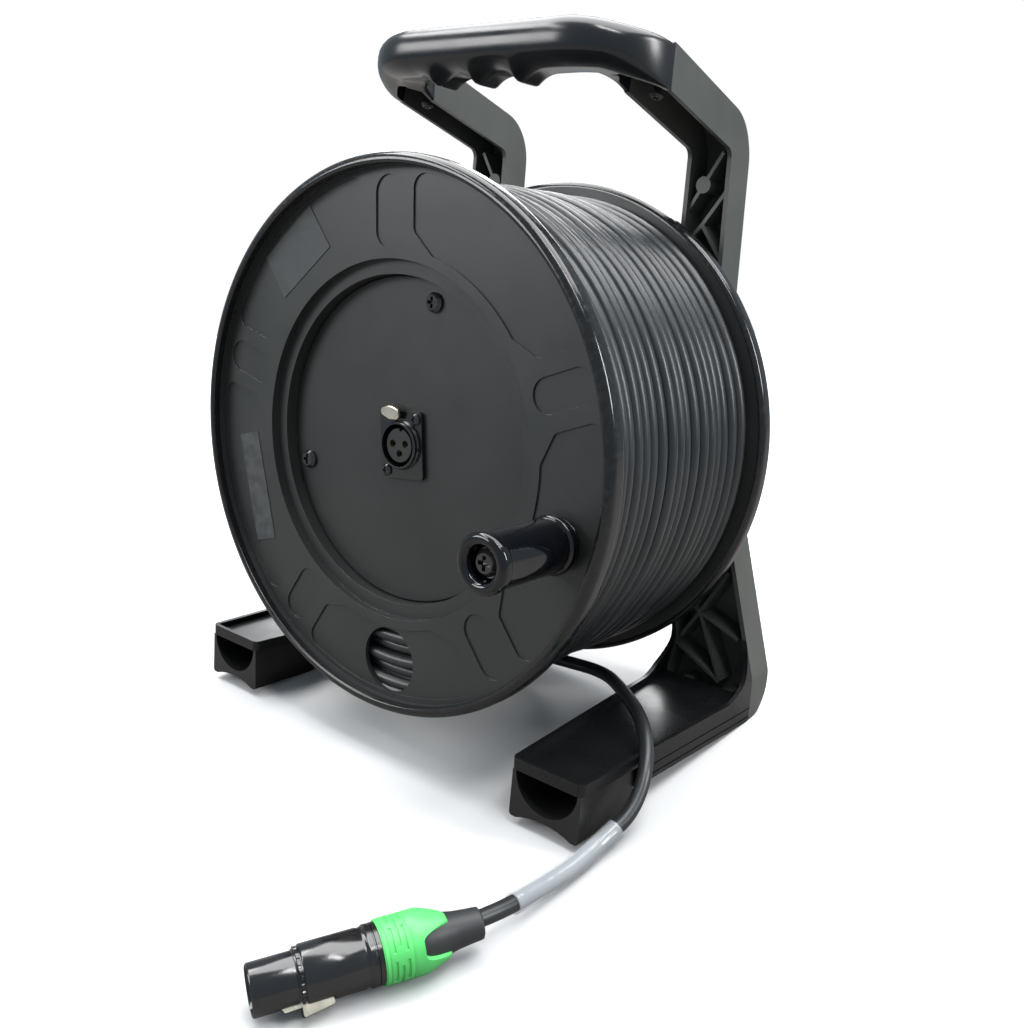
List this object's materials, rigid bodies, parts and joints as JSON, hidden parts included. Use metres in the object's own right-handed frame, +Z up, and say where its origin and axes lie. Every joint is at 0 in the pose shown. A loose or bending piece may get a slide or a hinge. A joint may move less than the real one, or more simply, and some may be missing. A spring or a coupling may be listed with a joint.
{
  "type": "cable reel",
  "caption": "Black plastic cable drum on a leaning stand with carry grip, crank knob and panel socket, full winding, free lead ending in a locking plug.",
  "frame": {"origin": "middle of the stand's footprint and depth, on the surface it stands on, without the free lead", "axes": "+Z up, -Y towards the crank and panel socket, +X towards the side where the free lead leaves; the drum axis lies in the YZ plane, 6.6 degrees off +Y"},
  "size_m": [0.2654, 0.3358, 0.3287],
  "materials": {
    "frame_plastic": "fine-grained moulded black",
    "foot_plastic": "polished black",
    "block_rubber": "satin black",
    "grip_plastic": "satin black",
    "drum_plastic": "satin black with gloss rim",
    "panel_coated": "fine powder coat",
    "knob_plastic": "polished black",
    "socket_shell": "black chrome",
    "socket_plastic": "satin black",
    "zinc_steel": "zinc plated",
    "black_steel": "blackened",
    "contact_brass": "gold plated",
    "latch_nickel": "nickel plated",
    "bush_nylon": "natural nylon",
    "cable_jacket": "matte dark grey",
    "sleeve_clear": "clear flexible tube",
    "boot_rubber": "matte black",
    "ring_green": "satin green",
    "label_grey": "blank label film"
  },
  "bodies": {
    "stand": {"frame_moulding": "frame_plastic", "foot_right": "foot_plastic", "foot_left": "foot_plastic", "foot_block_right": "block_rubber", "foot_block_left": "block_rubber", "grip": "grip_plastic", "grip_screws": "black_steel", "foot_screws": "black_steel", "block_screws": "black_steel", "axle": "zinc_steel", "axle_washer": "zinc_steel", "axle_nut": "zinc_steel", "hub_cap": "drum_plastic", "axle_retainer": "zinc_steel", "retainer_bolt": "zinc_steel", "lead_cable": "cable_jacket", "lead_sleeve": "sleeve_clear", "plug_boot": "boot_rubber", "plug_ring": "ring_green", "plug_shell": "socket_shell", "plug_insert": "socket_plastic", "plug_contacts": "contact_brass"},
    "drum": {"front_flange": "drum_plastic", "rear_flange": "drum_plastic", "core_barrel": "drum_plastic", "bearing_plate": "drum_plastic", "front_bush": "bush_nylon", "rear_bush": "bush_nylon", "front_flange_screws": "black_steel", "rear_flange_screws": "black_steel", "bearing_plate_screws": "zinc_steel", "connector_panel": "panel_coated", "panel_screws": "black_steel", "socket_housing": "socket_shell", "socket_insert": "socket_plastic", "socket_contacts": "contact_brass", "socket_screws": "black_steel", "internal_lead": "cable_jacket", "lead_grommet": "boot_rubber", "cable_winding": "cable_jacket", "label_square": "label_grey", "label_strip": "label_grey", "knob_base": "knob_plastic", "knob_spindle": "zinc_steel", "knob_washer": "black_steel", "knob_screw": "black_steel"},
    "crank_knob": {"knob_sleeve": "knob_plastic"},
    "socket_button": {"socket_latch": "latch_nickel"},
    "plug_button": {"plug_latch": "latch_nickel"}
  },
  "joints": [
    {"name": "drum_spin", "type": "hinge", "parent": "stand", "child": "drum", "pos_m": [0, -0.06571, 0.15075], "axis": [0, 0.9934, -0.1149], "continuous": true},
    {"name": "knob_spin", "type": "hinge", "parent": "drum", "child": "crank_knob", "pos_m": [0.0975, -0.08834, 0.12921], "axis": [0, 0.9934, -0.1149], "continuous": true},
    {"name": "socket_tab_press", "type": "slide", "parent": "drum", "child": "socket_button", "axis": [0, 0.9934, -0.1149], "range_m": [0, 0.0015], "stiffness_N_per_m": 600, "springref_m": -0.001},
    {"name": "plug_latch_press", "type": "slide", "parent": "stand", "child": "plug_button", "axis": [-0.6469, 0.3411, 0.682], "range_m": [0, 0.0009], "stiffness_N_per_m": 800, "springref_m": -0.001}
  ]
}
